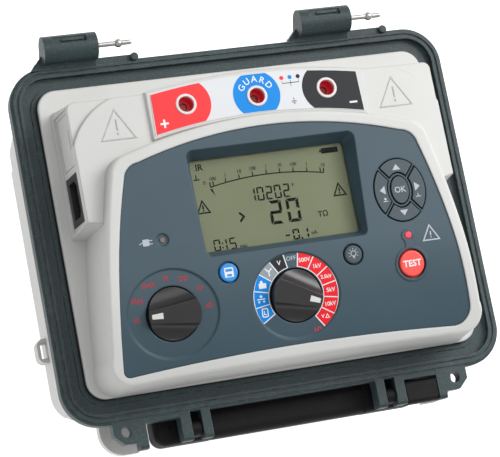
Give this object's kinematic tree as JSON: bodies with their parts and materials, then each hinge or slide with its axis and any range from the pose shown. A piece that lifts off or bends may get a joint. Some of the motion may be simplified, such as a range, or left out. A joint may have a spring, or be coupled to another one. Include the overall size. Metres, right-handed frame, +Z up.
{
  "type": "insulation resistance tester",
  "caption": "Bench insulation tester in a hard case base: sloped panel with display, two dials, keys and lead sockets, with a fold-down handle at the front.",
  "frame": {"origin": "on the table under the centre of the overall footprint", "axes": "+Z up, +X to the right, -Y towards the user and the carry handle"},
  "size_m": [0.315, 0.285, 0.1687],
  "materials": {
    "light_grey": "fine textured moulding",
    "slate_frame": "grained moulding",
    "slate_fascia": "fine satin",
    "steel": "bright",
    "black_rubber": "matte",
    "label_print": "printed film in pale grey, red, blue and charcoal areas",
    "pale_plastic": "satin",
    "red_plastic": "satin",
    "brass": "plated",
    "display_glass": "clear with a green cast",
    "display_frame": "green-grey liquid crystal panel",
    "black_plastic": "matte",
    "red_lens": "translucent lens",
    "dark_lens": "unlit lens",
    "blue_key": "satin",
    "slate_key": "silicone-like satin",
    "red_key": "satin",
    "black_knob": "satin",
    "white_marker": "satin",
    "circuit_board": "solder mask",
    "battery_case": "sleeve",
    "potting": "potted resin",
    "power_cover": "finned cover",
    "black_handle": "grained moulding"
  },
  "bodies": {
    "case": {"base_shell": "light_grey", "rim_frame": "slate_frame", "hinge_pins": "steel", "feet": "black_rubber", "case_screws": "steel", "front_panel": "light_grey", "panel_gasket": "black_rubber", "fascia": "slate_fascia", "terminal_label": "label_print", "socket_shells": "pale_plastic", "socket_liners": "red_plastic", "socket_contacts": "brass", "display_window": "display_glass", "display_module": "display_frame", "button_mat": "black_rubber", "tact_switches": "black_plastic", "test_lamp": "red_lens", "charge_lamp": "dark_lens", "range_switch": "black_plastic", "mode_switch": "black_plastic", "mains_inlet": "black_plastic", "inlet_blades": "steel", "data_port": "steel", "control_board": "circuit_board", "board_screws": "steel", "main_board": "circuit_board", "standoff_screws": "steel", "battery_pack": "battery_case", "hv_module": "potting", "power_supply": "power_cover", "handle_pins": "steel", "latch_pin": "steel"},
    "range_dial": {"range_knob": "black_knob", "range_marker": "white_marker", "range_shaft": "steel"},
    "mode_dial": {"mode_knob": "black_knob", "mode_marker": "white_marker", "mode_shaft": "steel"},
    "save_push": {"save_button": "blue_key"},
    "light_push": {"light_button": "slate_key"},
    "test_push": {"test_button": "red_key"},
    "up_push": {"key_up": "slate_key"},
    "left_push": {"key_left": "slate_key"},
    "down_push": {"key_down": "slate_key"},
    "right_push": {"key_right": "slate_key"},
    "ok_push": {"key_ok": "slate_key"},
    "side_cover": {"port_cover": "light_grey"},
    "carry_handle": {"handle": "black_handle"},
    "front_latch": {"latch_right": "black_handle"}
  },
  "joints": [
    {"name": "range_turn", "type": "hinge", "parent": "case", "child": "range_dial", "pos_m": [0, -0.063, 0.15958], "axis": [0, -0.1863, 0.9825], "range_deg": [-22.2, 222]},
    {"name": "mode_turn", "type": "hinge", "parent": "case", "child": "mode_dial", "pos_m": [-0.085, -0.063, 0.15958], "axis": [0, -0.1863, 0.9825], "range_deg": [-180, 0]},
    {"name": "save_press", "type": "slide", "parent": "case", "child": "save_push", "axis": [0, 0.098, -0.9952], "range_m": [0, 0.0012], "stiffness_N_per_m": 250, "springref_m": -0.0012},
    {"name": "light_press", "type": "slide", "parent": "case", "child": "light_push", "axis": [0, 0.098, -0.9952], "range_m": [0, 0.0012], "stiffness_N_per_m": 250, "springref_m": -0.0012},
    {"name": "test_press", "type": "slide", "parent": "case", "child": "test_push", "axis": [0, 0.1463, -0.9892], "range_m": [0, 0.0012], "stiffness_N_per_m": 250, "springref_m": -0.0012},
    {"name": "up_press", "type": "slide", "parent": "case", "child": "up_push", "axis": [0, 0.0488, -0.9988], "range_m": [0, 0.0012], "stiffness_N_per_m": 250, "springref_m": -0.0012},
    {"name": "left_press", "type": "slide", "parent": "case", "child": "left_push", "axis": [0, 0.0488, -0.9988], "range_m": [0, 0.0012], "stiffness_N_per_m": 250, "springref_m": -0.0012},
    {"name": "down_press", "type": "slide", "parent": "case", "child": "down_push", "axis": [0, 0.0488, -0.9988], "range_m": [0, 0.0012], "stiffness_N_per_m": 250, "springref_m": -0.0012},
    {"name": "right_press", "type": "slide", "parent": "case", "child": "right_push", "axis": [0, 0.0488, -0.9988], "range_m": [0, 0.0012], "stiffness_N_per_m": 250, "springref_m": -0.0012},
    {"name": "ok_press", "type": "slide", "parent": "case", "child": "ok_push", "axis": [0, 0.0488, -0.9988], "range_m": [0, 0.0012], "stiffness_N_per_m": 250, "springref_m": -0.0012},
    {"name": "cover_swing", "type": "hinge", "parent": "case", "child": "side_cover", "pos_m": [-0.12929, 0.06325, 0.125], "axis": [0, -1, 0], "range_deg": [0, 92]},
    {"name": "handle_swing", "type": "hinge", "parent": "case", "child": "carry_handle", "pos_m": [0, -0.134, 0.1055], "axis": [1, 0, 0], "range_deg": [-95, 0]},
    {"name": "latch_swing", "type": "hinge", "parent": "case", "child": "front_latch", "pos_m": [0.0926, -0.134, 0.1055], "axis": [1, 0, 0], "range_deg": [-100, 0]}
  ]
}
